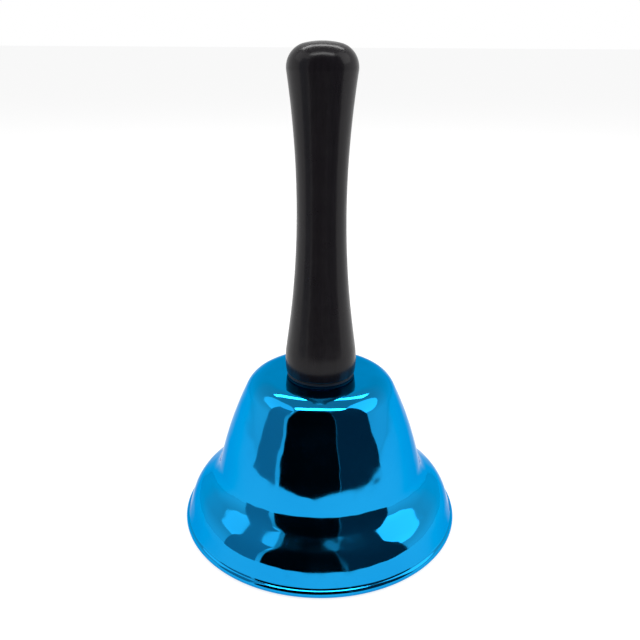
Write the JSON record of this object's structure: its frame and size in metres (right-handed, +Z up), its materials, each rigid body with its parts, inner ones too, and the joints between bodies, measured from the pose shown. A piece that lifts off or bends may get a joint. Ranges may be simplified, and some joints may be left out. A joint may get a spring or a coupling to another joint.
{
  "type": "hand bell",
  "caption": "Flared sheet-metal hand bell on a turned wooden handle, with a ball clapper hung inside on a wire link.",
  "frame": {"origin": "on the bell's axis, in the plane of the rim that it stands on", "axes": "+Z up the axis from the mouth to the top of the handle; the eye and the rod's loop lie in the XZ plane, the link ring in the YZ plane"},
  "size_m": [0.08, 0.08, 0.1327],
  "materials": {
    "blue_mirror_plating": "mirror-bright tinted blue plating on pressed steel sheet",
    "black_lacquered_wood": "black lacquer, semi-gloss, on turned hardwood",
    "black_fibre": "matt black vulcanised fibre sheet",
    "zinc_plated_steel": "bright zinc plating",
    "spring_steel": "oiled, dull",
    "nickel_plated_steel": "bright nickel plating"
  },
  "bodies": {
    "bell": {"bell_shell": "blue_mirror_plating", "seat_washer": "black_fibre", "handle": "black_lacquered_wood", "inner_washer": "zinc_plated_steel", "spring_washer": "spring_steel", "screw_eye": "nickel_plated_steel"},
    "link": {"link_ring": "zinc_plated_steel"},
    "clapper": {"clapper_rod": "zinc_plated_steel", "clapper_ball": "nickel_plated_steel"}
  },
  "joints": [
    {"name": "link_swing", "type": "hinge", "parent": "bell", "child": "link", "pos_m": [0, 0, 0.03592], "axis": [1, 0, 0], "range_deg": [-40, 40]},
    {"name": "clapper_swing", "type": "hinge", "parent": "link", "child": "clapper", "pos_m": [0, 0, 0.03217], "axis": [0, 1, 0], "range_deg": [-40, 40]}
  ]
}
